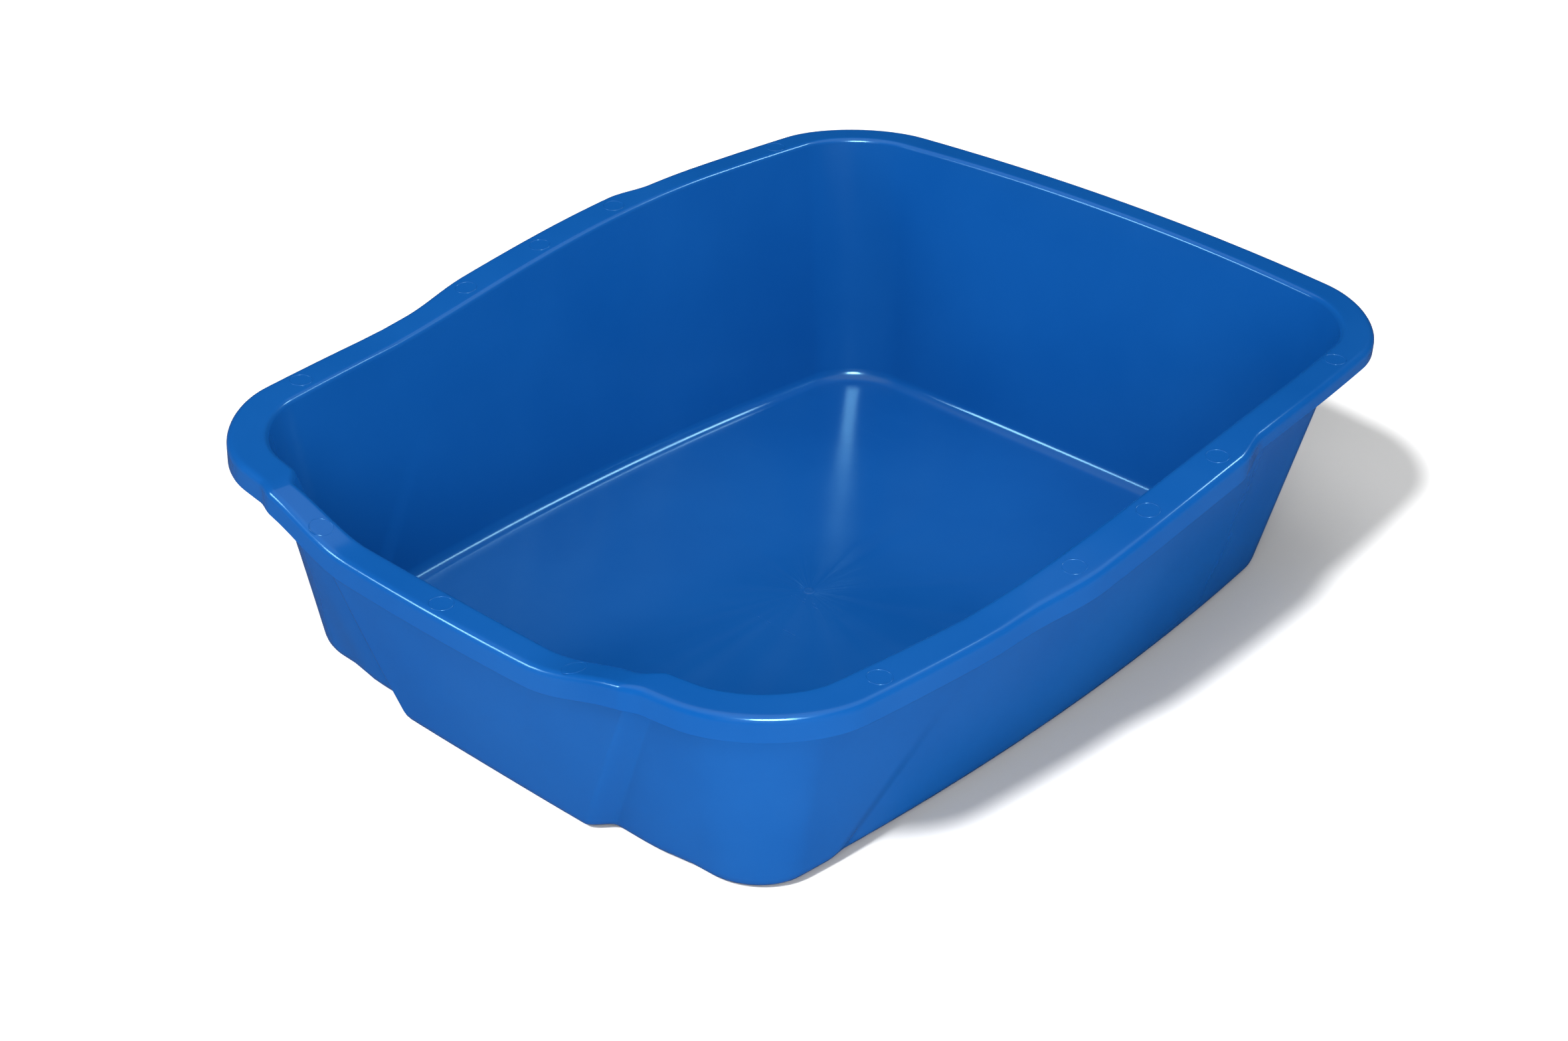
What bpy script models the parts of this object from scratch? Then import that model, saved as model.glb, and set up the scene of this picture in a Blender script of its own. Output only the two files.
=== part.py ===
# An open tub, injection moulded in one piece: a flat floor, drafted walls, and a flat rim
# with a turned-down skirt. The rim is low at the front, dips again in a bay in the middle of
# the front, and widens into a grip along each side. X runs across the tub, Y from front (-)
# to back (+) and Z up. The origin is on the ground, under the middle of the floor.
import math
from collections import namedtuple

import bmesh
import bpy

# Driving dimensions, in metres and degrees.
LENGTH = 0.480  # over the rim, front to back
WIDTH = 0.382  # over the two grips
REAR_HEIGHT = 0.1315  # top of the rim along the back
FRONT_HEIGHT = 0.1118  # top of the rim at the front corners
WALL = 0.0022  # thickness all over

RIM_WIDTH = 0.0158  # flat top of the rim, from the tub's mouth to its outer edge
RIM_SIDE_BOW = 0.0160  # how far each side of the rim bows out from its corners
RIM_END_BOW = 0.0167
MOUTH_TAPER = 0.015  # share by which the mouth is wider at the back and narrower at the front
EDGE_TAPER = 0.004  # the same for the rim's outer edge
MOUTH_CORNER = 0.0313  # corner radius on the inner edge of the rim
OUTER_CORNER = 0.0463  # corner radius on the outer edge of the rim

SIDE_LEAN = 0.0253  # the mouth stands this far outside the foot of the wall, at a side's middle
END_LEAN = 0.0309  # the same, at the middle of the back
FOOT_SIDE_BOW = 0.0121
FOOT_BACK_CORNER = 0.0305  # radius of the floor's corners at the back
FOOT_FRONT_CORNER = 0.0230  # and at the front, where they are tighter
FLOOR_FILLET = 0.0068  # inside radius between floor and wall
UNDER_RIM_FILLET = 0.0010  # inside radius between rim and skirt
FILLET_SEGMENTS = 3
SHARP_ANGLE = 35  # the skirt's lower edge stays sharp, and the rest is shaded smooth

RISE_START = -0.112  # the rim climbs from its front height here
RISE_END = 0.112  # to its rear height here
RISE_SHAPE = 0.8  # below 1, the climb is steeper near its start

BAY_DIP = 0.0116  # drop of the rim along the front bay
BAY_DIP_RAMP = 0.056  # length of the slope at each end of the dip
BAY_DIP_PAST_BAY = 0.0022  # the slopes begin this far outside the ends of the bay
RIM_BAY_FROM_CORNER = 0.0170  # from the end of the mouth's corner to the end of the bay
RIM_BAY_STEP = 0.0063  # the bay stands this far in front of the wall beside it, at the mouth
OUTER_BAY_STEP = 0.0022  # the same, at the rim's outer edge
FOOT_BAY_FROM_CORNER = 0.0537
FOOT_BAY_STEP = 0.0088
FOOT_BAY_MIDDLE = 0.0093  # the bay's middle, in front of the floor's plain outline
BAY_STEP_RAMP = 0.011  # length of the sloping face between the bay and the wall beside it
FOOT_FRONT_SWEEP = 0.0032  # the front corners stand this far behind the wall beside the bay
SWEEP_FROM_BAY = 0.036  # from the end of the bay to the middle of that sweep
SWEEP_RAMP = 0.026

FOOT_CREASE_FROM_CORNER = 0.0180  # end of the front corner's thicker piece, on the side wall
RIM_CREASE_FROM_CORNER = 0.110
CREASE_STEP = 0.0018  # that piece stands this far outside the side wall, at the floor
CREASE_RAMP = 0.013
CREASE_TOP = 0.6  # share of the wall's height where it has faded out

GRIP_STEP = 0.0041  # each grip stands this far outside the rim's own line
GRIP_FRONT = -0.066  # middle of the slope at the grip's front end
GRIP_FRONT_RAMP = 0.044
GRIP_BACK = 0.067  # middle of the slope at its back end
GRIP_BACK_RAMP = 0.024

FRONT_SKIRT = 0.0112  # skirt below the top of the rim, around the front
GRIP_SKIRT = 0.0120  # along the grips
REAR_SKIRT = 0.0080  # behind the grips and across the back

# The number of stations along each stretch of half an outline, front middle to back middle.
STRETCHES = (4, 5, 2, 8, 2, 4, 4, 4, 3, 8, 5)
WALL_ROWS = 4

PLASTIC_BLUE = (0.010, 0.100, 0.420, 1.0)
PLASTIC_ROUGHNESS = 0.22

# One outline of the tub, seen from above. Every outline has the same stations, so that the
# rings they make join one to one. The bay and crease are given by their distance from the
# ends of the front corner.
Outline = namedtuple(
    "Outline",
    "half_width half_length front_corner back_corner side_bow end_bow taper"
    " bay_from_corner bay_step bay_middle front_sweep"
    " crease_from_corner crease_step crease_ramp grip_step",
)


def smooth_step(value):
    value = min(max(value, 0.0), 1.0)
    return value * value * (3 - 2 * value)


def ramp(position, middle, length):
    """Rises smoothly from 0 to 1 over a length around a middle."""
    return smooth_step((position - middle) / length + 0.5)


MOUTH = Outline(
    half_width=WIDTH / 2 - GRIP_STEP - RIM_WIDTH - RIM_SIDE_BOW,
    half_length=LENGTH / 2 - RIM_WIDTH - RIM_END_BOW,
    front_corner=MOUTH_CORNER,
    back_corner=MOUTH_CORNER,
    side_bow=RIM_SIDE_BOW,
    end_bow=RIM_END_BOW,
    taper=MOUTH_TAPER,
    bay_from_corner=RIM_BAY_FROM_CORNER,
    bay_step=RIM_BAY_STEP,
    bay_middle=0.0,
    front_sweep=0.0,
    crease_from_corner=RIM_CREASE_FROM_CORNER,
    crease_step=0.0,
    crease_ramp=CREASE_RAMP,
    grip_step=0.0,
)
RIM_EDGE = MOUTH._replace(
    half_width=MOUTH.half_width + RIM_WIDTH,
    half_length=MOUTH.half_length + RIM_WIDTH,
    front_corner=OUTER_CORNER,
    back_corner=OUTER_CORNER,
    taper=EDGE_TAPER,
    bay_from_corner=RIM_BAY_FROM_CORNER + RIM_WIDTH - (OUTER_CORNER - MOUTH_CORNER),
    bay_step=OUTER_BAY_STEP,
    crease_ramp=GRIP_FRONT_RAMP,
    grip_step=GRIP_STEP,
)
FOOT = Outline(
    half_width=MOUTH.half_width + RIM_SIDE_BOW - SIDE_LEAN - FOOT_SIDE_BOW,
    half_length=MOUTH.half_length + RIM_END_BOW - END_LEAN,
    front_corner=FOOT_FRONT_CORNER,
    back_corner=FOOT_BACK_CORNER,
    side_bow=FOOT_SIDE_BOW,
    end_bow=0.0,
    taper=0.0,
    bay_from_corner=FOOT_BAY_FROM_CORNER,
    bay_step=FOOT_BAY_STEP,
    bay_middle=FOOT_BAY_MIDDLE,
    front_sweep=FOOT_FRONT_SWEEP,
    crease_from_corner=FOOT_CREASE_FROM_CORNER,
    crease_step=CREASE_STEP,
    crease_ramp=CREASE_RAMP,
    grip_step=0.0,
)


def between(first, second, share):
    """An outline part of the way up the wall. The crease has faded out by CREASE_TOP."""
    middle = Outline(*(a + (b - a) * share for a, b in zip(first, second)))
    return middle._replace(crease_step=first.crease_step * max(1 - share / CREASE_TOP, 0.0))


def evenly(start, end, count):
    """Positions from start towards end, without the end itself."""
    return [start + (end - start) * step / count for step in range(count)]


def corner_points(centre_x, centre_y, radius, start_angle, count):
    angles = evenly(start_angle, start_angle + 90, count)
    turns = [math.radians(angle) for angle in angles]
    return [(centre_x + radius * math.cos(t), centre_y + radius * math.sin(t)) for t in turns]


def plain_points(outline):
    """Half of a rounded rectangle on the +X side, from the front middle to the back middle."""
    across = outline.half_width
    along = outline.half_length
    front_x = across - outline.front_corner
    front_y = -along + outline.front_corner
    back_x = across - outline.back_corner
    back_y = along - outline.back_corner
    bay_end = front_x - outline.bay_from_corner
    crease = front_y + outline.crease_from_corner
    half_bay_ramp = BAY_STEP_RAMP / 2
    half_crease_ramp = outline.crease_ramp / 2
    half_back_ramp = GRIP_BACK_RAMP / 2
    counts = iter(STRETCHES)
    front_xs = evenly(0.0, bay_end - half_bay_ramp, next(counts))
    front_xs += evenly(bay_end - half_bay_ramp, bay_end + half_bay_ramp, next(counts))
    front_xs += evenly(bay_end + half_bay_ramp, front_x, next(counts))
    points = [(x, -along) for x in front_xs]
    points += corner_points(front_x, front_y, outline.front_corner, -90, next(counts))
    side_ys = evenly(front_y, crease - half_crease_ramp, next(counts))
    side_ys += evenly(crease - half_crease_ramp, crease + half_crease_ramp, next(counts))
    side_ys += evenly(crease + half_crease_ramp, GRIP_BACK - half_back_ramp, next(counts))
    side_ys += evenly(GRIP_BACK - half_back_ramp, GRIP_BACK + half_back_ramp, next(counts))
    side_ys += evenly(GRIP_BACK + half_back_ramp, back_y, next(counts))
    points += [(across, y) for y in side_ys]
    points += corner_points(back_x, back_y, outline.back_corner, 0, next(counts))
    points += [(x, along) for x in evenly(back_x, 0.0, next(counts))]
    points.append((0.0, along))
    return points


def shaped_point(outline, x, y):
    """Bows a point of the plain outline, then adds the bay, crease and grip to it."""
    across = outline.half_width
    along = outline.half_length
    bay_end = across - outline.front_corner - outline.bay_from_corner
    crease = -along + outline.front_corner + outline.crease_from_corner
    end_share = (abs(y) / along) ** 2
    side_share = (x / across) ** 2
    bowed_x = x + outline.side_bow * (1 - end_share) * side_share
    bowed_y = y + math.copysign(outline.end_bow * (1 - side_share) * end_share, y)
    if y < 0:
        in_bay = ramp(-x, -bay_end, BAY_STEP_RAMP) * end_share
        beside_bay = outline.end_bow * (1 - (bay_end / across) ** 2)
        bay_side = beside_bay + outline.bay_step
        bay_bow = outline.end_bow + outline.bay_middle - bay_side
        bay_front = bay_side + bay_bow * (1 - (x / bay_end) ** 2)
        bowed_y += in_bay * (-along - bay_front - bowed_y)
        beside_sweep = ramp(x, bay_end + SWEEP_FROM_BAY, SWEEP_RAMP)
        bowed_y += outline.front_sweep * beside_sweep * end_share
    bowed_x += outline.crease_step * ramp(-y, -crease, outline.crease_ramp) * side_share
    in_grip = ramp(y, GRIP_FRONT, GRIP_FRONT_RAMP) * ramp(-y, -GRIP_BACK, GRIP_BACK_RAMP)
    bowed_x += outline.grip_step * in_grip
    return bowed_x * (1 + outline.taper * y / along), bowed_y


def outline_points(outline):
    """A whole closed outline: the +X half, then its mirror image from back to front."""
    half = [shaped_point(outline, x, y) for x, y in plain_points(outline)]
    return half + [(-x, y) for x, y in reversed(half[1:-1])]


def rim_height(x, y):
    """Top of the rim: the climb along the sides, and the dip along the front bay."""
    climb = max((y - RISE_START) / (RISE_END - RISE_START), 0.0) ** RISE_SHAPE
    height = FRONT_HEIGHT + (REAR_HEIGHT - FRONT_HEIGHT) * smooth_step(climb)
    if y < -MOUTH.half_length + MOUTH_CORNER:
        dip_end = MOUTH.half_width - MOUTH_CORNER - RIM_BAY_FROM_CORNER + BAY_DIP_PAST_BAY
        height -= BAY_DIP * ramp(-abs(x), -dip_end + BAY_DIP_RAMP / 2, BAY_DIP_RAMP)
    return height


def skirt_depth(y):
    """How far the skirt hangs below the top of the rim at a place along the tub."""
    depth = FRONT_SKIRT + (GRIP_SKIRT - FRONT_SKIRT) * ramp(y, GRIP_FRONT, GRIP_FRONT_RAMP)
    return depth + (REAR_SKIRT - GRIP_SKIRT) * ramp(y, GRIP_BACK, GRIP_BACK_RAMP)


def wall_ring(share):
    """Points on the inner face of the wall, at a share of its height above the floor."""
    mouth = outline_points(MOUTH)
    flat = outline_points(between(FOOT, MOUTH, share))
    tops = [rim_height(x, y) for x, y in mouth]
    return [(x, y, WALL + (top - WALL) * share) for (x, y), top in zip(flat, tops)]


def add_ring(mesh, places):
    verts = [mesh.verts.new(place) for place in places]
    return [mesh.edges.new((verts[i - 1], verts[i])) for i in range(len(verts))]


def fillet_offset(radius, first_direction, second_direction):
    """Distance from a sharp edge to where a fillet of this radius leaves either face."""
    return radius / math.tan(first_direction.angle(second_direction) / 2)


def round_ring(mesh, edges, radius):
    """Fillets a ring of edges, set out from the faces on both sides of its back middle."""
    edge = max(edges, key=lambda e: e.verts[0].co.y + e.verts[1].co.y)
    middle = (edge.verts[0].co + edge.verts[1].co) / 2
    directions = [face.calc_center_median() - middle for face in edge.link_faces]
    for direction in directions:
        direction.x = 0.0
    bmesh.ops.bevel(
        mesh,
        geom=edges,
        offset=fillet_offset(radius, *directions),
        offset_type="OFFSET",
        affect="EDGES",
        segments=FILLET_SEGMENTS,
        profile=0.5,
        material=-1,
        loop_slide=True,
    )


def upper_skin():
    """The tub's upper side as one sheet: floor, inner walls, rim and outside of the skirt."""
    mesh = bmesh.new()
    rings = [add_ring(mesh, wall_ring(row / WALL_ROWS)) for row in range(WALL_ROWS + 1)]
    edge_top = [(x, y, rim_height(x, y)) for x, y in outline_points(RIM_EDGE)]
    rings.append(add_ring(mesh, edge_top))
    rings.append(add_ring(mesh, [(x, y, z - skirt_depth(y)) for x, y, z in edge_top]))
    for lower, upper in zip(rings, rings[1:]):
        bmesh.ops.bridge_loops(mesh, edges=lower + upper)
    bmesh.ops.contextual_create(mesh, geom=rings[0])
    bmesh.ops.recalc_face_normals(mesh, faces=mesh.faces)
    mesh.faces.ensure_lookup_table()
    floor = max(mesh.faces, key=lambda face: len(face.verts))
    if floor.normal.z < 0:
        bmesh.ops.reverse_faces(mesh, faces=mesh.faces)
    round_ring(mesh, rings[0], FLOOR_FILLET)
    round_ring(mesh, rings[-2], UNDER_RIM_FILLET + WALL)
    return mesh


def moulded_plastic():
    material = bpy.data.materials.new("blue_polypropylene")
    material.use_nodes = True
    shader = material.node_tree.nodes["Principled BSDF"]
    shader.inputs["Base Color"].default_value = PLASTIC_BLUE
    shader.inputs["Roughness"].default_value = PLASTIC_ROUGHNESS
    shader.inputs["Metallic"].default_value = 0.0
    material.diffuse_color = PLASTIC_BLUE
    return material


def make_pan():
    mesh = upper_skin()
    data = bpy.data.meshes.new("pan")
    mesh.to_mesh(data)
    mesh.free()
    data.shade_smooth()
    data.set_sharp_from_angle(angle=math.radians(SHARP_ANGLE))
    data.materials.append(moulded_plastic())
    pan = bpy.data.objects.new("pan", data)
    bpy.context.collection.objects.link(pan)
    wall = pan.modifiers.new("wall", "SOLIDIFY")
    wall.thickness = WALL
    wall.offset = -1.0
    wall.use_even_offset = True
    return pan


for old in list(bpy.data.objects):
    bpy.data.objects.remove(old)
make_pan()
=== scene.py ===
import math
from collections import namedtuple

import bmesh
import bpy
from mathutils import Matrix, Vector


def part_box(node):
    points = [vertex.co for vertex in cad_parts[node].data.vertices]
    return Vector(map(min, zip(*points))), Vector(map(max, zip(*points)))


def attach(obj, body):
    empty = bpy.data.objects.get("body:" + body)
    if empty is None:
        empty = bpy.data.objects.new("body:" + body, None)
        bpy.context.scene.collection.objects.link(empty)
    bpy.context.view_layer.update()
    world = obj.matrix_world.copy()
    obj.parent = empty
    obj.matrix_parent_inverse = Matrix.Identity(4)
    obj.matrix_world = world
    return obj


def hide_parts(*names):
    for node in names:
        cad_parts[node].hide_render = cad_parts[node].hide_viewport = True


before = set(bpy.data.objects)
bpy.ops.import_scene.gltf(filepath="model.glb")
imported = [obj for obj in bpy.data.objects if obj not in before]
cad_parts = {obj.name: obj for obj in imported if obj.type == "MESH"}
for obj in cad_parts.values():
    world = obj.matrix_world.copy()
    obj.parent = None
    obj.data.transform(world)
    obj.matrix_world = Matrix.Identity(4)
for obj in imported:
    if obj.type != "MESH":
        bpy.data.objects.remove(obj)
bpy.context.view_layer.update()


# The camera is not part of the pan. It stands on a tripod in front of the right front corner,
# about a metre and a quarter away, and looks down into the tub through a slightly long lens.
# Its angles are in degrees, its lens and sensor in millimetres.
CAMERA_PLACE = (0.66646, -0.82060, 0.66731)
CAMERA_AZIMUTH = 39.81
CAMERA_ELEVATION = 30.66
CAMERA_ROLL = 2.77
CAMERA_LENS = 60.13
SENSOR_WIDTH = 36.0


def make_camera():
    data = bpy.data.cameras.new("camera")
    data.sensor_fit = "HORIZONTAL"
    data.sensor_width = SENSOR_WIDTH
    data.lens = CAMERA_LENS
    data.clip_start = 0.01
    camera = bpy.data.objects.new("camera", data)
    bpy.context.collection.objects.link(camera)
    facing = Matrix.Rotation(math.radians(CAMERA_AZIMUTH), 4, "Z")
    tilted = Matrix.Rotation(math.radians(90 - CAMERA_ELEVATION), 4, "X")
    rolled = Matrix.Rotation(math.radians(CAMERA_ROLL), 4, "Z")
    camera.matrix_world = Matrix.Translation(CAMERA_PLACE) @ facing @ tilted @ rolled
    bpy.context.scene.camera = camera


make_camera()


# The pan is a single injection moulding in blue polypropylene, gated in the middle of its
# floor. One wall thickness runs from the floor up the leaning walls, out over the rim and
# down the skirt, and every edge is rounded so that it leaves the mould.
low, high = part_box("pan")
LENGTH = high.y - low.y
WIDTH = round(high.x - low.x, 3)
MARK_HEIGHT = 0.00012
REAR_HEIGHT = high.z - MARK_HEIGHT
FRONT_HEIGHT = 0.1118
WALL = 0.0022

RIM_WIDTH = 0.0158
RIM_SIDE_BOW = 0.0160
RIM_END_BOW = 0.0167
MOUTH_TAPER = 0.015
EDGE_TAPER = 0.004
MOUTH_CORNER = 0.0313
OUTER_CORNER = 0.0463

SIDE_LEAN = 0.0253
END_LEAN = 0.0309
FOOT_SIDE_BOW = 0.0121
FOOT_BACK_CORNER = 0.0305
FOOT_FRONT_CORNER = 0.0230

RISE_START = -0.112
RISE_END = 0.112
RISE_SHAPE = 0.8

BAY_DIP = 0.0116
BAY_DIP_RAMP = 0.056
BAY_DIP_PAST_BAY = 0.0022
RIM_BAY_FROM_CORNER = 0.0170
RIM_BAY_STEP = 0.0063
OUTER_BAY_STEP = 0.0022
FOOT_BAY_FROM_CORNER = 0.0537
FOOT_BAY_STEP = 0.0088
FOOT_BAY_MIDDLE = 0.0093
BAY_STEP_RAMP = 0.011
FOOT_FRONT_SWEEP = 0.0032
SWEEP_FROM_BAY = 0.036
SWEEP_RAMP = 0.026

FOOT_CREASE_FROM_CORNER = 0.0180
RIM_CREASE_FROM_CORNER = 0.110
CREASE_STEP = 0.0018
CREASE_RAMP = 0.013
CREASE_TOP = 0.6

GRIP_STEP = 0.0041
GRIP_FRONT = -0.066
GRIP_FRONT_RAMP = 0.044
GRIP_BACK = 0.067
GRIP_BACK_RAMP = 0.024

FRONT_SKIRT = 0.0112
GRIP_SKIRT = 0.0120
REAR_SKIRT = 0.0080

# Radii of the rounded edges, from the floor outwards and back underneath.
FLOOR_ROUND = 0.0068
MOUTH_ROUND = 0.0028
RIM_ROUND = 0.0032
SKIRT_LIP_ROUND = 0.0005
UNDER_RIM_ROUND = 0.0010
UNDER_MOUTH_ROUND = 0.0012
FOOT_ROUND = FLOOR_ROUND + WALL

# The number of steps round each of those edges.
BROAD_STEPS = 6
MOUTH_STEPS = 4
UNDER_STEPS = 3
LIP_STEPS = 2

# The number of stations along each stretch of half an outline, front middle to back middle.
STRETCHES = (16, 16, 6, 28, 6, 12, 22, 14, 14, 28, 20)
WALL_ROWS = 12
FLOOR_ROWS = 14
RIM_ROWS = 4

Outline = namedtuple(
    "Outline",
    "half_width half_length front_corner back_corner side_bow end_bow taper"
    " bay_from_corner bay_step bay_middle front_sweep"
    " crease_from_corner crease_step crease_ramp grip_step",
)
MOUTH = Outline(
    half_width=WIDTH / 2 - GRIP_STEP - RIM_WIDTH - RIM_SIDE_BOW,
    half_length=LENGTH / 2 - RIM_WIDTH - RIM_END_BOW,
    front_corner=MOUTH_CORNER,
    back_corner=MOUTH_CORNER,
    side_bow=RIM_SIDE_BOW,
    end_bow=RIM_END_BOW,
    taper=MOUTH_TAPER,
    bay_from_corner=RIM_BAY_FROM_CORNER,
    bay_step=RIM_BAY_STEP,
    bay_middle=0.0,
    front_sweep=0.0,
    crease_from_corner=RIM_CREASE_FROM_CORNER,
    crease_step=0.0,
    crease_ramp=CREASE_RAMP,
    grip_step=0.0,
)
RIM_EDGE = MOUTH._replace(
    half_width=MOUTH.half_width + RIM_WIDTH,
    half_length=MOUTH.half_length + RIM_WIDTH,
    front_corner=OUTER_CORNER,
    back_corner=OUTER_CORNER,
    taper=EDGE_TAPER,
    bay_from_corner=RIM_BAY_FROM_CORNER + RIM_WIDTH - (OUTER_CORNER - MOUTH_CORNER),
    bay_step=OUTER_BAY_STEP,
    crease_ramp=GRIP_FRONT_RAMP,
    grip_step=GRIP_STEP,
)
FOOT = Outline(
    half_width=MOUTH.half_width + RIM_SIDE_BOW - SIDE_LEAN - FOOT_SIDE_BOW,
    half_length=MOUTH.half_length + RIM_END_BOW - END_LEAN,
    front_corner=FOOT_FRONT_CORNER,
    back_corner=FOOT_BACK_CORNER,
    side_bow=FOOT_SIDE_BOW,
    end_bow=0.0,
    taper=0.0,
    bay_from_corner=FOOT_BAY_FROM_CORNER,
    bay_step=FOOT_BAY_STEP,
    bay_middle=FOOT_BAY_MIDDLE,
    front_sweep=FOOT_FRONT_SWEEP,
    crease_from_corner=FOOT_CREASE_FROM_CORNER,
    crease_step=CREASE_STEP,
    crease_ramp=CREASE_RAMP,
    grip_step=0.0,
)


def between(first, second, share):
    """An outline part of the way up the wall. The crease has faded out by CREASE_TOP."""
    middle = Outline(*(a + (b - a) * share for a, b in zip(first, second)))
    return middle._replace(crease_step=first.crease_step * max(1 - share / CREASE_TOP, 0.0))


def grown(outline, distance):
    """The outline moved outwards by a distance, so that its corners keep their centres."""
    return outline._replace(
        half_width=outline.half_width + distance,
        half_length=outline.half_length + distance,
        front_corner=outline.front_corner + distance,
        back_corner=outline.back_corner + distance,
    )


def smooth_step(value):
    value = min(max(value, 0.0), 1.0)
    return value * value * (3 - 2 * value)


def ramp(position, middle, length):
    """Rises smoothly from 0 to 1 over a length around a middle."""
    return smooth_step((position - middle) / length + 0.5)


def evenly(start, end, count):
    """Positions from start towards end, without the end itself."""
    return [start + (end - start) * step / count for step in range(count)]


def corner_points(centre_x, centre_y, radius, start_angle, count):
    angles = evenly(start_angle, start_angle + 90, count)
    turns = [math.radians(angle) for angle in angles]
    return [(centre_x + radius * math.cos(t), centre_y + radius * math.sin(t)) for t in turns]


def plain_points(outline):
    """Half of a rounded rectangle on the +X side, from the front middle to the back middle."""
    across = outline.half_width
    along = outline.half_length
    front_x = across - outline.front_corner
    front_y = -along + outline.front_corner
    back_x = across - outline.back_corner
    back_y = along - outline.back_corner
    bay_end = front_x - outline.bay_from_corner
    crease = front_y + outline.crease_from_corner
    half_bay_ramp = BAY_STEP_RAMP / 2
    half_crease_ramp = outline.crease_ramp / 2
    half_back_ramp = GRIP_BACK_RAMP / 2
    counts = iter(STRETCHES)
    front_xs = evenly(0.0, bay_end - half_bay_ramp, next(counts))
    front_xs += evenly(bay_end - half_bay_ramp, bay_end + half_bay_ramp, next(counts))
    front_xs += evenly(bay_end + half_bay_ramp, front_x, next(counts))
    points = [(x, -along) for x in front_xs]
    points += corner_points(front_x, front_y, outline.front_corner, -90, next(counts))
    side_ys = evenly(front_y, crease - half_crease_ramp, next(counts))
    side_ys += evenly(crease - half_crease_ramp, crease + half_crease_ramp, next(counts))
    side_ys += evenly(crease + half_crease_ramp, GRIP_BACK - half_back_ramp, next(counts))
    side_ys += evenly(GRIP_BACK - half_back_ramp, GRIP_BACK + half_back_ramp, next(counts))
    side_ys += evenly(GRIP_BACK + half_back_ramp, back_y, next(counts))
    points += [(across, y) for y in side_ys]
    points += corner_points(back_x, back_y, outline.back_corner, 0, next(counts))
    points += [(x, along) for x in evenly(back_x, 0.0, next(counts))]
    points.append((0.0, along))
    return points


def shaped_point(outline, x, y):
    """Bows a point of the plain outline, then adds the bay, crease and grip to it."""
    across = outline.half_width
    along = outline.half_length
    bay_end = across - outline.front_corner - outline.bay_from_corner
    crease = -along + outline.front_corner + outline.crease_from_corner
    end_share = (abs(y) / along) ** 2
    side_share = (x / across) ** 2
    bowed_x = x + outline.side_bow * (1 - end_share) * side_share
    bowed_y = y + math.copysign(outline.end_bow * (1 - side_share) * end_share, y)
    if y < 0:
        in_bay = ramp(-x, -bay_end, BAY_STEP_RAMP) * end_share
        beside_bay = outline.end_bow * (1 - (bay_end / across) ** 2)
        bay_side = beside_bay + outline.bay_step
        bay_bow = outline.end_bow + outline.bay_middle - bay_side
        bay_front = bay_side + bay_bow * (1 - (x / bay_end) ** 2)
        bowed_y += in_bay * (-along - bay_front - bowed_y)
        beside_sweep = ramp(x, bay_end + SWEEP_FROM_BAY, SWEEP_RAMP)
        bowed_y += outline.front_sweep * beside_sweep * end_share
    bowed_x += outline.crease_step * ramp(-y, -crease, outline.crease_ramp) * side_share
    in_grip = ramp(y, GRIP_FRONT, GRIP_FRONT_RAMP) * ramp(-y, -GRIP_BACK, GRIP_BACK_RAMP)
    bowed_x += outline.grip_step * in_grip
    return bowed_x * (1 + outline.taper * y / along), bowed_y


def outline_points(outline):
    """A whole closed outline: the +X half, then its mirror image from back to front."""
    half = [shaped_point(outline, x, y) for x, y in plain_points(outline)]
    return half + [(-x, y) for x, y in reversed(half[1:-1])]


def rim_height(x, y):
    """Top of the rim: the climb along the sides, and the dip along the front bay."""
    climb = max((y - RISE_START) / (RISE_END - RISE_START), 0.0) ** RISE_SHAPE
    height = FRONT_HEIGHT + (REAR_HEIGHT - FRONT_HEIGHT) * smooth_step(climb)
    if y < -MOUTH.half_length + MOUTH_CORNER:
        dip_end = MOUTH.half_width - MOUTH_CORNER - RIM_BAY_FROM_CORNER + BAY_DIP_PAST_BAY
        height -= BAY_DIP * ramp(-abs(x), -dip_end + BAY_DIP_RAMP / 2, BAY_DIP_RAMP)
    return height


def skirt_depth(y):
    """How far the skirt hangs below the top of the rim at a place along the tub."""
    depth = FRONT_SKIRT + (GRIP_SKIRT - FRONT_SKIRT) * ramp(y, GRIP_FRONT, GRIP_FRONT_RAMP)
    return depth + (REAR_SKIRT - GRIP_SKIRT) * ramp(y, GRIP_BACK, GRIP_BACK_RAMP)


def mixed(first, second, share):
    return [a.lerp(b, share) for a, b in zip(first, second)]


def flat_ring(outline, height):
    return [Vector((x, y, height)) for x, y in outline_points(outline)]


def rim_ring(outline, drop):
    """A ring a given drop below the top of the rim, which may change along the tub."""
    heights = [rim_height(x, y) for x, y in outline_points(outline)]
    places = zip(outline_points(outline), heights)
    return [Vector((x, y, top - drop(y))) for (x, y), top in places]


def wall_ring(share, outward, lowest):
    """A ring on one face of the wall, at a share of its height above that face's floor."""
    flat = outline_points(grown(between(FOOT, MOUTH, share), outward))
    tops = [rim_height(x, y) for x, y in outline_points(MOUTH)]
    under = 0.0 if outward == 0.0 else WALL
    heights = [lowest + (top - under - lowest) * share for top in tops]
    return [Vector((x, y, z)) for (x, y), z in zip(flat, heights)]


def first_ring(mesh, places):
    ring = bmesh.ops.create_circle(mesh, segments=len(places), radius=LENGTH)["verts"]
    for vert, place in zip(ring, places):
        vert.co = place
    return ring


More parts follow.
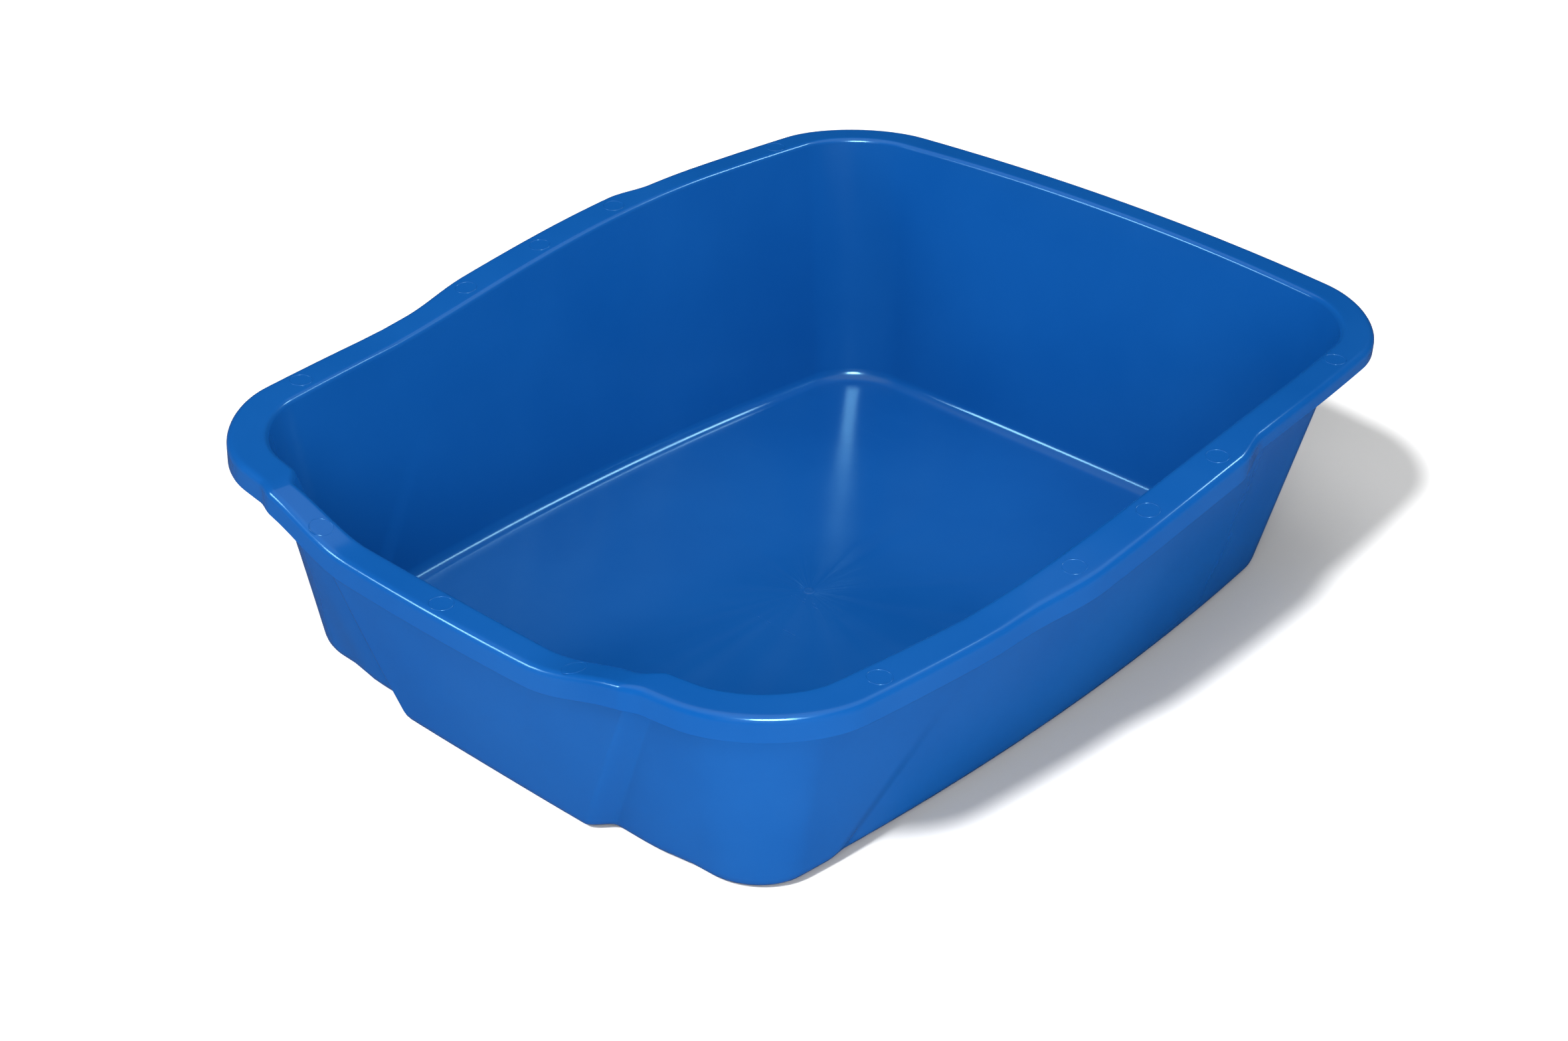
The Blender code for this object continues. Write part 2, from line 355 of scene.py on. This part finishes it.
def next_ring(mesh, ring, places):
    """Extrudes the ring and puts each new vertex at its place."""
    edges = [mesh.edges.get((ring[i - 1], ring[i])) for i in range(len(ring))]
    made = bmesh.ops.extrude_edge_only(mesh, edges=edges)["geom"]
    fresh = {item for item in made if isinstance(item, bmesh.types.BMVert)}
    following = []
    for vert, place in zip(ring, places):
        others = (edge.other_vert(vert) for edge in vert.link_edges)
        follower = next(other for other in others if other in fresh)
        follower.co = place
        following.append(follower)
    return following


def round_ring(mesh, ring, radius, segments):
    """Fillets a ring of edges, set out from the faces on both sides of its back middle."""
    edges = [mesh.edges.get((ring[i - 1], ring[i])) for i in range(len(ring))]
    edge = max(edges, key=lambda e: e.verts[0].co.y + e.verts[1].co.y)
    middle = (edge.verts[0].co + edge.verts[1].co) / 2
    sides = [face.calc_center_median() - middle for face in edge.link_faces]
    for side in sides:
        side.x = 0.0
    bmesh.ops.bevel(
        mesh,
        geom=edges,
        offset=radius / math.tan(sides[0].angle(sides[1]) / 2),
        offset_type="OFFSET",
        affect="EDGES",
        segments=segments,
        profile=0.5,
        material=-1,
        loop_slide=True,
    )


# The gate's nub, from its foot inwards to the dimple left where the sprue was cut off.
GATE_RADII = (0.0032, 0.0026, 0.0020, 0.0011)
GATE_HEIGHTS = (0.0, 0.00050, 0.00050, 0.00010)


def gate_ring(count, radius, height):
    """A ring round the middle of the floor, where the plastic came in."""
    turns = [math.radians(angle) for angle in evenly(-90, 270, count)]
    return [Vector((radius * math.cos(t), radius * math.sin(t), height)) for t in turns]


def pan_mesh():
    """Runs once round the section: floor, wall, rim and skirt, and back along the underside."""
    mesh = bmesh.new()
    floor_edge = flat_ring(FOOT, WALL)
    ring = first_ring(mesh, gate_ring(len(floor_edge), GATE_RADII[-1], WALL + GATE_HEIGHTS[-1]))
    bmesh.ops.contextual_create(mesh, geom=ring)
    for radius, height in reversed(list(zip(GATE_RADII[:-1], GATE_HEIGHTS[:-1]))):
        ring = next_ring(mesh, ring, gate_ring(len(ring), radius, WALL + height))
    around_gate = [vert.co.copy() for vert in ring]
    for row in range(1, FLOOR_ROWS):
        ring = next_ring(mesh, ring, mixed(around_gate, floor_edge, row / FLOOR_ROWS))
    ring = next_ring(mesh, ring, floor_edge)
    corners = [(ring, FLOOR_ROUND, BROAD_STEPS)]
    for row in range(1, WALL_ROWS + 1):
        ring = next_ring(mesh, ring, wall_ring(row / WALL_ROWS, 0.0, WALL))
    corners.append((ring, MOUTH_ROUND, MOUTH_STEPS))
    mouth_top = [vert.co.copy() for vert in ring]
    edge_top = rim_ring(RIM_EDGE, lambda y: 0.0)
    for row in range(1, RIM_ROWS + 1):
        ring = next_ring(mesh, ring, mixed(mouth_top, edge_top, row / RIM_ROWS))
    corners.append((ring, RIM_ROUND, BROAD_STEPS))
    ring = next_ring(mesh, ring, rim_ring(RIM_EDGE, skirt_depth))
    corners.append((ring, SKIRT_LIP_ROUND, LIP_STEPS))
    inside_skirt = grown(RIM_EDGE, -WALL)
    ring = next_ring(mesh, ring, rim_ring(inside_skirt, skirt_depth))
    corners.append((ring, SKIRT_LIP_ROUND, LIP_STEPS))
    ring = next_ring(mesh, ring, rim_ring(inside_skirt, lambda y: WALL))
    corners.append((ring, UNDER_RIM_ROUND, UNDER_STEPS))
    under_edge = [vert.co.copy() for vert in ring]
    under_mouth = wall_ring(1.0, WALL, 0.0)
    for row in range(1, RIM_ROWS + 1):
        ring = next_ring(mesh, ring, mixed(under_edge, under_mouth, row / RIM_ROWS))
    corners.append((ring, UNDER_MOUTH_ROUND, UNDER_STEPS))
    for row in reversed(range(WALL_ROWS)):
        ring = next_ring(mesh, ring, wall_ring(row / WALL_ROWS, WALL, 0.0))
    corners.append((ring, FOOT_ROUND, BROAD_STEPS))
    foot_edge = [vert.co.copy() for vert in ring]
    under_gate = gate_ring(len(ring), GATE_RADII[0], 0.0)
    for row in range(1, FLOOR_ROWS + 1):
        ring = next_ring(mesh, ring, mixed(foot_edge, under_gate, row / FLOOR_ROWS))
    bmesh.ops.contextual_create(mesh, geom=ring)
    for corner, radius, segments in corners:
        round_ring(mesh, corner, radius, segments)
    bmesh.ops.recalc_face_normals(mesh, faces=mesh.faces)
    return mesh


PLASTIC_BLUE = (0.0030, 0.074, 0.300, 1.0)
PALER_BLUE = (0.0045, 0.086, 0.330, 1.0)
RUBBED_BLUE = (0.030, 0.150, 0.450, 1.0)
RUBBED_SHARE = 0.12
HIGHLIGHT_TINT = (0.55, 0.85, 1.0, 1.0)
POLYPROPYLENE_IOR = 1.49

# Lumps to the metre of each pattern in the plastic.
CLOUD_SCALE = 11.0
WAVE_SCALE = 26.0
GRAIN_SCALE = 620.0
PATCH_SCALE = 17.0
CRUMB_SCALE = 190.0

# Roughness of the clean plastic, and what the streaks and the rubbing add to it.
SMOOTHEST = 0.14
DULLEST = 0.20
STREAK_DULLING = 0.08
RUBBED_DULLING = 0.15

# Relief of each pattern, in millimetres.
MILLIMETRE = 0.001
WAVE_RELIEF = 0.060
GRAIN_RELIEF = 0.004
STREAK_RELIEF = 0.035
SCRATCH_DEPTH = 0.004

# The scratches run in two directions, in degrees about Z. They are whole at the floor and
# gone by their top height, so that none climbs the wall.
SCRATCH_FLOOR = 0.0030
SCRATCH_TOP = 0.0050
LONG_WAYS = 28.0
CROSS_WAYS = -47.0
LONG_THRESHOLD = 0.74
CROSS_THRESHOLD = 0.75
SCRATCH_STRETCH = (3.0, 420.0, 3.0)
SCRATCH_STRENGTH = 0.3
SCRATCH_EDGE = 0.06

# The scuffs round the foot fade out between these two heights.
SCUFF_BOTTOM = 0.0005
SCUFF_TOP = 0.0020

# The flow streaks fade on their way out, down to a least share at the end of their reach.
STREAK_LUMPS = 7.0
STREAK_REACH = 0.20
STREAK_LEAST = 0.2


def add_noise(tree, vector, scale, detail):
    """Cloudy noise from 0 to 1, whose scale is in lumps to the unit."""
    node = tree.nodes.new("ShaderNodeTexNoise")
    node.inputs["Scale"].default_value = scale
    node.inputs["Detail"].default_value = detail
    tree.links.new(vector, node.inputs["Vector"])
    return node.outputs["Fac"]


def add_math(tree, operation, first, second):
    """A Math node, whose two inputs may each be a socket or a number."""
    node = tree.nodes.new("ShaderNodeMath")
    node.operation = operation
    for socket, value in zip(node.inputs, (first, second)):
        if isinstance(value, bpy.types.NodeSocket):
            tree.links.new(value, socket)
        else:
            socket.default_value = value
    return node.outputs["Value"]


def add_map(tree, value, from_low, from_high, to_low, to_high):
    node = tree.nodes.new("ShaderNodeMapRange")
    node.inputs["From Min"].default_value = from_low
    node.inputs["From Max"].default_value = from_high
    node.inputs["To Min"].default_value = to_low
    node.inputs["To Max"].default_value = to_high
    tree.links.new(value, node.inputs["Value"])
    return node.outputs["Result"]


def add_mix(tree, share, first, second):
    """Mixes two colours, each a socket or a plain colour."""
    node = tree.nodes.new("ShaderNodeMix")
    node.data_type = "RGBA"
    tree.links.new(share, node.inputs["Factor"])
    for name, colour in (("A", first), ("B", second)):
        socket = next(i for i in node.inputs if i.name == name and i.type == "RGBA")
        if isinstance(colour, bpy.types.NodeSocket):
            tree.links.new(colour, socket)
        else:
            socket.default_value = colour
    return next(o for o in node.outputs if o.type == "RGBA")


def flow_streaks(tree, place):
    """Faint streaks that run out from the gate, as the melt did. They fade on the way."""
    flat = tree.nodes.new("ShaderNodeVectorMath")
    flat.operation = "MULTIPLY"
    flat.inputs[1].default_value = (1.0, 1.0, 0.0)
    tree.links.new(place, flat.inputs[0])
    distance = tree.nodes.new("ShaderNodeVectorMath")
    distance.operation = "LENGTH"
    tree.links.new(flat.outputs["Vector"], distance.inputs[0])
    direction = tree.nodes.new("ShaderNodeVectorMath")
    direction.operation = "NORMALIZE"
    tree.links.new(flat.outputs["Vector"], direction.inputs[0])
    along = tree.nodes.new("ShaderNodeCombineXYZ")
    tree.links.new(distance.outputs["Value"], along.inputs["Z"])
    spoke = tree.nodes.new("ShaderNodeVectorMath")
    spoke.operation = "ADD"
    tree.links.new(direction.outputs["Vector"], spoke.inputs[0])
    tree.links.new(along.outputs["Vector"], spoke.inputs[1])
    streaks = add_noise(tree, spoke.outputs["Vector"], STREAK_LUMPS, 3.0)
    fading = add_map(tree, distance.outputs["Value"], 0.0, STREAK_REACH, 1.0, STREAK_LEAST)
    return add_math(tree, "MULTIPLY", add_map(tree, streaks, 0.40, 0.65, 0.0, 1.0), fading)


def hairline_scratches(tree, place, turn, threshold):
    """Long fine scratches in one direction, given in degrees about Z."""
    turned = tree.nodes.new("ShaderNodeMapping")
    turned.inputs["Rotation"].default_value = (0.0, 0.0, math.radians(turn))
    turned.inputs["Scale"].default_value = SCRATCH_STRETCH
    tree.links.new(place, turned.inputs["Vector"])
    streaks = add_noise(tree, turned.outputs["Vector"], 1.0, 0.0)
    return add_map(tree, streaks, threshold, threshold + SCRATCH_EDGE, 0.0, SCRATCH_STRENGTH)


def pan_plastic():
    """Glossy polypropylene with moulding marks, and rubbed where the pan is used."""
    material = bpy.data.materials.new("blue_polypropylene")
    material.use_nodes = True
    tree = material.node_tree
    shader = tree.nodes["Principled BSDF"]
    shader.inputs["IOR"].default_value = POLYPROPYLENE_IOR
    shader.inputs["Specular IOR Level"].default_value = 1.0
    shader.inputs["Specular Tint"].default_value = HIGHLIGHT_TINT
    coordinates = tree.nodes.new("ShaderNodeTexCoord")
    place = coordinates.outputs["Object"]

    clouds = add_noise(tree, place, CLOUD_SCALE, 4.0)
    waves = add_noise(tree, place, WAVE_SCALE, 1.0)
    grain = add_noise(tree, place, GRAIN_SCALE, 2.0)
    streaks = flow_streaks(tree, place)

    height = tree.nodes.new("ShaderNodeSeparateXYZ")
    tree.links.new(place, height.inputs["Vector"])
    on_floor = add_map(tree, height.outputs["Z"], SCRATCH_TOP, SCRATCH_FLOOR, 0.0, 1.0)
    patches = add_map(tree, add_noise(tree, place, PATCH_SCALE, 2.0), 0.42, 0.66, 0.0, 1.0)
    used = add_math(tree, "MULTIPLY", on_floor, patches)
    long_ways = hairline_scratches(tree, place, LONG_WAYS, LONG_THRESHOLD)
    cross_ways = hairline_scratches(tree, place, CROSS_WAYS, CROSS_THRESHOLD)
    either_way = add_math(tree, "MAXIMUM", long_ways, cross_ways)
    scratches = add_math(tree, "MULTIPLY", either_way, used)

    at_foot = add_map(tree, height.outputs["Z"], SCUFF_TOP, SCUFF_BOTTOM, 0.0, 1.0)
    crumbs = add_map(tree, add_noise(tree, place, CRUMB_SCALE, 5.0), 0.50, 0.66, 0.0, 1.0)
    scuffs = add_math(tree, "MULTIPLY", at_foot, crumbs)
    rubbed = add_math(tree, "MAXIMUM", scratches, scuffs)

    paler = add_map(tree, clouds, 0.3, 0.7, 0.0, 1.0)
    cloudy_blue = add_mix(tree, paler, PLASTIC_BLUE, PALER_BLUE)
    rubbed_share = add_math(tree, "MULTIPLY", rubbed, RUBBED_SHARE)
    blue = add_mix(tree, rubbed_share, cloudy_blue, RUBBED_BLUE)
    tree.links.new(blue, shader.inputs["Base Color"])

    roughness = add_map(tree, clouds, 0.3, 0.7, SMOOTHEST, DULLEST)
    for pattern, dulling in ((streaks, STREAK_DULLING), (rubbed, RUBBED_DULLING)):
        dulled = add_math(tree, "MULTIPLY", pattern, dulling)
        roughness = add_math(tree, "ADD", roughness, dulled)
    tree.links.new(roughness, shader.inputs["Roughness"])

    relief = add_math(tree, "MULTIPLY", waves, WAVE_RELIEF)
    for pattern, rise in ((grain, GRAIN_RELIEF), (streaks, STREAK_RELIEF)):
        raised = add_math(tree, "MULTIPLY", pattern, rise)
        relief = add_math(tree, "ADD", relief, raised)
    sunk = add_math(tree, "MULTIPLY", rubbed, SCRATCH_DEPTH)
    relief = add_math(tree, "SUBTRACT", relief, sunk)
    bump = tree.nodes.new("ShaderNodeBump")
    bump.inputs["Distance"].default_value = MILLIMETRE
    tree.links.new(relief, bump.inputs["Height"])
    tree.links.new(bump.outputs["Normal"], shader.inputs["Normal"])
    return material


def make_pan():
    mesh = pan_mesh()
    data = bpy.data.meshes.new("pan_moulding")
    mesh.to_mesh(data)
    mesh.free()
    data.shade_smooth()
    data.materials.append(plastic)
    pan = bpy.data.objects.new("pan_moulding", data)
    bpy.context.collection.objects.link(pan)
    weighted = pan.modifiers.new("face_weighted_normals", "WEIGHTED_NORMAL")
    weighted.keep_sharp = True
    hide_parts("pan")
    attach(pan, "root")


plastic = pan_plastic()
make_pan()


# The ejector pins that pushed the moulding out of its mould have each left a faint ring on
# the flat top of the rim. The rings are the same blue polypropylene, and stand only a tenth
# of a millimetre proud of it.
MARK_RADIUS = 0.0051
MARK_HALF_WIDTH = 0.00035
MARK_SUNK = 0.00025
MARK_STEPS = 48
SIDE_MARKS = (
    (0.1687, -0.1624),
    (0.1793, -0.0519),
    (0.1803, -0.0020),
    (0.1800, 0.0495),
    (0.1704, 0.1613),
)
FRONT_MARKS = ((0.0740, -0.2310),)
MIDDLE_MARK = (0.0, -0.2320)
SLOPE_STEP = 0.002  # the rim's slope is measured this far to each side of a mark


def mark_matrix(x, y):
    """Lays a flat ring on the sloping top of the rim."""
    rise_x = (rim_height(x + SLOPE_STEP, y) - rim_height(x - SLOPE_STEP, y)) / (2 * SLOPE_STEP)
    rise_y = (rim_height(x, y + SLOPE_STEP) - rim_height(x, y - SLOPE_STEP)) / (2 * SLOPE_STEP)
    upright = Vector((-rise_x, -rise_y, 1.0)).normalized()
    tilted = upright.to_track_quat("Z", "Y").to_matrix().to_4x4()
    return Matrix.Translation((x, y, rim_height(x, y))) @ tilted


def add_mark(mesh, x, y):
    before = set(mesh.verts)
    profile = (
        (MARK_RADIUS - MARK_HALF_WIDTH, -MARK_SUNK),
        (MARK_RADIUS + MARK_HALF_WIDTH, -MARK_SUNK),
        (MARK_RADIUS + MARK_HALF_WIDTH / 3, MARK_HEIGHT),
        (MARK_RADIUS - MARK_HALF_WIDTH / 3, MARK_HEIGHT),
    )
    corners = [mesh.verts.new((radius, 0.0, height)) for radius, height in profile]
    sides = [mesh.edges.new((corners[i - 1], corners[i])) for i in range(len(corners))]
    bmesh.ops.spin(
        mesh,
        geom=corners + sides,
        cent=(0.0, 0.0, 0.0),
        axis=(0.0, 0.0, 1.0),
        angle=math.tau,
        steps=MARK_STEPS,
        use_merge=True,
    )
    fresh = [vert for vert in mesh.verts if vert not in before]
    bmesh.ops.transform(mesh, matrix=mark_matrix(x, y), verts=fresh)


def make_marks():
    mesh = bmesh.new()
    for x, y in SIDE_MARKS + FRONT_MARKS:
        add_mark(mesh, x, y)
        add_mark(mesh, -x, y)
    add_mark(mesh, *MIDDLE_MARK)
    bmesh.ops.recalc_face_normals(mesh, faces=mesh.faces)
    data = bpy.data.meshes.new("ejector_marks")
    mesh.to_mesh(data)
    mesh.free()
    data.shade_smooth()
    data.materials.append(plastic)
    marks = bpy.data.objects.new("ejector_marks", data)
    bpy.context.collection.objects.link(marks)
    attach(marks, "root")


make_marks()


# The floor is not part of the pan. It is a plain pale studio sweep, wide enough to fill the
# view all round, matt, and white to the eye under the studio's lights.
FLOOR_SIZE = 12.0
FLOOR_GREY = (0.42, 0.42, 0.42, 1.0)
MIRRORED_GREY = (0.02, 0.02, 0.02, 1.0)


def pale_floor():
    """A matt pale grey that is only faintly mirrored in the plastic."""
    material = bpy.data.materials.new("pale_floor")
    material.use_nodes = True
    nodes = material.node_tree.nodes
    links = material.node_tree.links
    shader = nodes["Principled BSDF"]
    shader.inputs["Roughness"].default_value = 0.9
    shader.inputs["Specular IOR Level"].default_value = 0.0
    path = nodes.new("ShaderNodeLightPath")
    shade = nodes.new("ShaderNodeMix")
    shade.data_type = "RGBA"
    shade.inputs["A"].default_value = FLOOR_GREY
    shade.inputs["B"].default_value = MIRRORED_GREY
    links.new(path.outputs["Is Glossy Ray"], shade.inputs["Factor"])
    links.new(shade.outputs["Result"], shader.inputs["Base Color"])
    return material


def make_floor():
    mesh = bmesh.new()
    bmesh.ops.create_grid(mesh, x_segments=1, y_segments=1, size=FLOOR_SIZE / 2)
    data = bpy.data.meshes.new("studio_floor")
    mesh.to_mesh(data)
    mesh.free()
    data.materials.append(pale_floor())
    floor = bpy.data.objects.new("studio_floor", data)
    bpy.context.collection.objects.link(floor)
    return floor


studio_floor = make_floor()


# The lights are not part of the pan. Two softboxes hang overhead, a key light stands to the
# front left, and fills stand by the camera and to the right. Three small glints show only as
# bright lines on the rounded edges, and a sun from the front whitens the floor alone.
# Places and sizes are in metres, powers in watts, and the sun's width in degrees.
SUN_PLACE = (0.10, -0.95, 1.0)
SUN_STRENGTH = 10.0
SUN_ANGLE = 7.0
GLINT_COLOUR = (0.62, 0.90, 1.0)
WORLD_COLOUR = (1.0, 1.0, 1.0, 1.0)
WORLD_STRENGTH = 0.37


def make_softbox(name, place, size, power, lights_surfaces=True, is_mirrored=True):
    """A rectangular softbox aimed at the pan, which may show only in its mirrorings or not."""
    data = bpy.data.lights.new(name, "AREA")
    data.shape = "RECTANGLE"
    data.size = size[0]
    data.size_y = size[1]
    data.energy = power
    if not lights_surfaces:
        data.color = GLINT_COLOUR
    light = bpy.data.objects.new(name, data)
    bpy.context.collection.objects.link(light)
    aim = Vector((0.0, 0.0, REAR_HEIGHT / 2)) - Vector(place)
    turned = aim.to_track_quat("-Z", "Y").to_matrix().to_4x4()
    light.matrix_world = Matrix.Translation(place) @ turned
    light.visible_diffuse = lights_surfaces
    light.visible_glossy = is_mirrored


def make_floor_sun():
    """Lights the floor only, so that the pan's shadow falls behind it and to its right."""
    data = bpy.data.lights.new("floor_sun", "SUN")
    data.energy = SUN_STRENGTH
    data.angle = math.radians(SUN_ANGLE)
    sun = bpy.data.objects.new("floor_sun", data)
    bpy.context.collection.objects.link(sun)
    turned = (-Vector(SUN_PLACE)).to_track_quat("-Z", "Y").to_matrix().to_4x4()
    sun.matrix_world = Matrix.Translation(SUN_PLACE) @ turned
    sun.visible_glossy = False
    lit = bpy.data.collections.new("lit_by_floor_sun")
    lit.objects.link(studio_floor)
    sun.light_linking.receiver_collection = lit


def make_world():
    """A dim even glow that lights the plastic but is not mirrored in it."""
    world = bpy.data.worlds.new("studio")
    world.use_nodes = True
    glow = world.node_tree.nodes["Background"]
    glow.inputs["Color"].default_value = WORLD_COLOUR
    glow.inputs["Strength"].default_value = WORLD_STRENGTH
    world.cycles_visibility.glossy = False
    bpy.context.scene.world = world


make_world()
make_softbox("overhead_softbox", (0.0, 0.0, 1.6), (2.2, 2.2), 6.0)
make_softbox("overhead_core", (0.0, 0.0, 1.58), (1.0, 1.0), 12.0, is_mirrored=False)
make_softbox("back_glint", (0.15, 1.06, 1.2), (0.25, 0.25), 3.0, lights_surfaces=False)
make_softbox("front_right_glint", (0.82, -0.65, 1.35), (0.45, 0.45), 26.0, lights_surfaces=False)
make_softbox("front_left_key", (-1.1, -1.4, 1.0), (1.0, 1.0), 17.0, is_mirrored=False)
make_softbox("front_left_glint", (-1.0, -1.1, 1.1), (0.35, 0.35), 6.0, lights_surfaces=False)
make_softbox("camera_fill", (1.0, -1.2, 0.9), (0.9, 0.9), 20.0, is_mirrored=False)
make_softbox("right_fill", (1.7, -0.5, 0.5), (1.2, 0.6), 9.0, is_mirrored=False)
make_floor_sun()
bpy.context.scene.view_settings.view_transform = "Standard"
